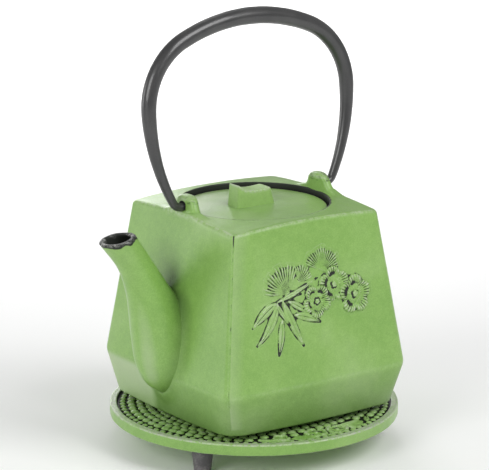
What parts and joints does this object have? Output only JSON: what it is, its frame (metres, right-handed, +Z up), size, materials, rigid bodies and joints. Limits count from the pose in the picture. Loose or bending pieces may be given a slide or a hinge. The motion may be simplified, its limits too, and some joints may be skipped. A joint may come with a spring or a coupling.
{
  "type": "teapot",
  "caption": "Square cast iron teapot with a round lid, a curved spout, a swinging bail handle and a basket infuser, standing on a round studded trivet.",
  "frame": {"origin": "on the pot's vertical axis, at the level of the trivet's feet", "axes": "+Z up, spout towards -X, handle lugs on the X axis, decorated face looking along -Y"},
  "size_m": [0.1692, 0.15, 0.2257],
  "materials": {
    "green_iron": "satin yellowish green paint over a fine sand-cast skin, dark in the recesses",
    "black_steel": "satin black paint, finely banded around the bar",
    "bright_steel": "brushed stainless steel",
    "foot_rubber": "matte dark grey rubber"
  },
  "bodies": {
    "trivet": {"trivet_plate": "green_iron", "trivet_foot_1": "foot_rubber", "trivet_foot_2": "foot_rubber", "trivet_foot_3": "foot_rubber"},
    "pot": {"teapot_body": "green_iron", "teapot_floor": "green_iron", "teapot_spout": "green_iron"},
    "bail": {"bail_handle": "black_steel"},
    "infuser": {"infuser_rim": "bright_steel", "infuser_mesh": "bright_steel", "infuser_base": "bright_steel"},
    "cover": {"lid": "green_iron", "lid_knob": "green_iron", "knob_screw": "bright_steel"}
  },
  "joints": [
    {"name": "pot_lift", "type": "slide", "parent": "trivet", "child": "pot", "axis": [0, 0, 1], "range_m": [0, 0.06]},
    {"name": "bail_swing", "type": "hinge", "parent": "pot", "child": "bail", "pos_m": [0, 0, 0.1297], "axis": [1, 0, 0], "range_deg": [-125.5, 134.5]},
    {"name": "infuser_lift", "type": "slide", "parent": "pot", "child": "infuser", "axis": [0, 0, 1], "range_m": [0, 0.052]},
    {"name": "lid_lift", "type": "slide", "parent": "infuser", "child": "cover", "axis": [0, 0, 1], "range_m": [0, 0.024]}
  ]
}
